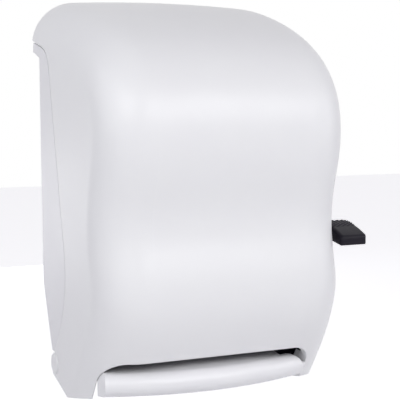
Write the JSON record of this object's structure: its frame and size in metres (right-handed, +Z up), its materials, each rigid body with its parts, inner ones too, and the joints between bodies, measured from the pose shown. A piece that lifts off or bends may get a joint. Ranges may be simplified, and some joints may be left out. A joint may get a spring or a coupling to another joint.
{
  "type": "lever roll towel dispenser",
  "caption": "Wall-mounted roll towel dispenser with a moulded cover, a towel slot and a side thumb lever that feeds the towel.",
  "frame": {"origin": "centre of the four wall holes, on the wall plane, at half the height", "axes": "+X to the viewer's right, +Y into the wall, +Z up; the front faces -Y"},
  "size_m": [0.3188, 0.2288, 0.4189],
  "materials": {
    "white_cover": "glossy white moulding",
    "white_chassis": "white moulding, slightly less glossy than the cover",
    "lip_moulding": "white moulding",
    "lever_black": "black satin moulding of the lever and the side plates",
    "grey_moulding": "grey moulding, fine texture",
    "acetal": "off-white low-friction moulding",
    "rubber": "black rubber",
    "steel": "plain steel rod",
    "spring_steel": "spring wire",
    "zinc_plate": "zinc plated sheet",
    "stainless": "stainless sheet",
    "lock_brass": "turned brass"
  },
  "bodies": {
    "chassis": {"wall_chassis": "white_chassis", "hinge_pins": "steel", "side_plate_left": "lever_black", "side_plate_right": "lever_black", "shaft_bushes": "acetal", "stop_bumper": "rubber", "return_spring": "spring_steel", "roll_arm_left": "grey_moulding", "arm_bracket": "zinc_plate", "tear_bar": "stainless", "paper_guide": "grey_moulding", "strike_bracket": "zinc_plate", "mechanism_screws": "steel"},
    "cover": {"front_cover": "white_cover", "towel_chute": "lip_moulding"},
    "lock": {"lock_core": "lock_brass", "lock_cam": "zinc_plate"},
    "lever": {"lever_arm": "lever_black", "lever_shaft": "steel", "gear_sector": "acetal"},
    "feed": {"drive_core": "grey_moulding", "drive_bands": "rubber", "drive_shaft": "steel", "clutch_pinion": "acetal"},
    "pinch": {"pinch_roller": "acetal", "pinch_bands": "rubber"},
    "arm_right": {"roll_arm_right": "grey_moulding"},
    "hub_left": {"core_hub_left": "acetal"},
    "hub_right": {"core_hub_right": "acetal"}
  },
  "joints": [
    {"name": "cover_hinge", "type": "hinge", "parent": "chassis", "child": "cover", "pos_m": [0, -0.06, -0.18155], "axis": [1, 0, 0], "range_deg": [0, 78]},
    {"name": "lock_turn", "type": "hinge", "parent": "cover", "child": "lock", "pos_m": [0, -0.026, 0.19045], "axis": [0, 0, -1], "range_deg": [0, 90]},
    {"name": "lever_pivot", "type": "hinge", "parent": "chassis", "child": "lever", "pos_m": [0, -0.06, -0.01255], "axis": [1, 0, 0], "range_deg": [0, 40], "stiffness_Nm_per_rad": 0.5, "springref_deg": -20.05},
    {"name": "feed_roller", "type": "hinge", "parent": "chassis", "child": "feed", "pos_m": [0, -0.09678, -0.07946], "axis": [1, 0, 0], "range_deg": [-180, 0]},
    {"name": "pinch_turn", "type": "hinge", "parent": "chassis", "child": "pinch", "pos_m": [0, -0.06048, -0.07946], "axis": [1, 0, 0], "range_deg": [0, 405]},
    {"name": "roll_arm_flex", "type": "hinge", "parent": "chassis", "child": "arm_right", "pos_m": [0.0861, -0.013, 0.07545], "axis": [0, 0, 1], "range_deg": [0, 8], "stiffness_Nm_per_rad": 8, "springref_deg": -2.86},
    {"name": "hub_left_turn", "type": "hinge", "parent": "chassis", "child": "hub_left", "pos_m": [-0.118, -0.112, 0.07545], "axis": [1, 0, 0], "continuous": true},
    {"name": "hub_right_turn", "type": "hinge", "parent": "arm_right", "child": "hub_right", "pos_m": [0.078, -0.112, 0.07545], "axis": [1, 0, 0], "continuous": true}
  ],
  "couplings": [
    {"joint": "feed_roller", "follows": "lever_pivot", "ratio": -4.4286},
    {"joint": "pinch_turn", "follows": "lever_pivot", "ratio": 10.065}
  ]
}
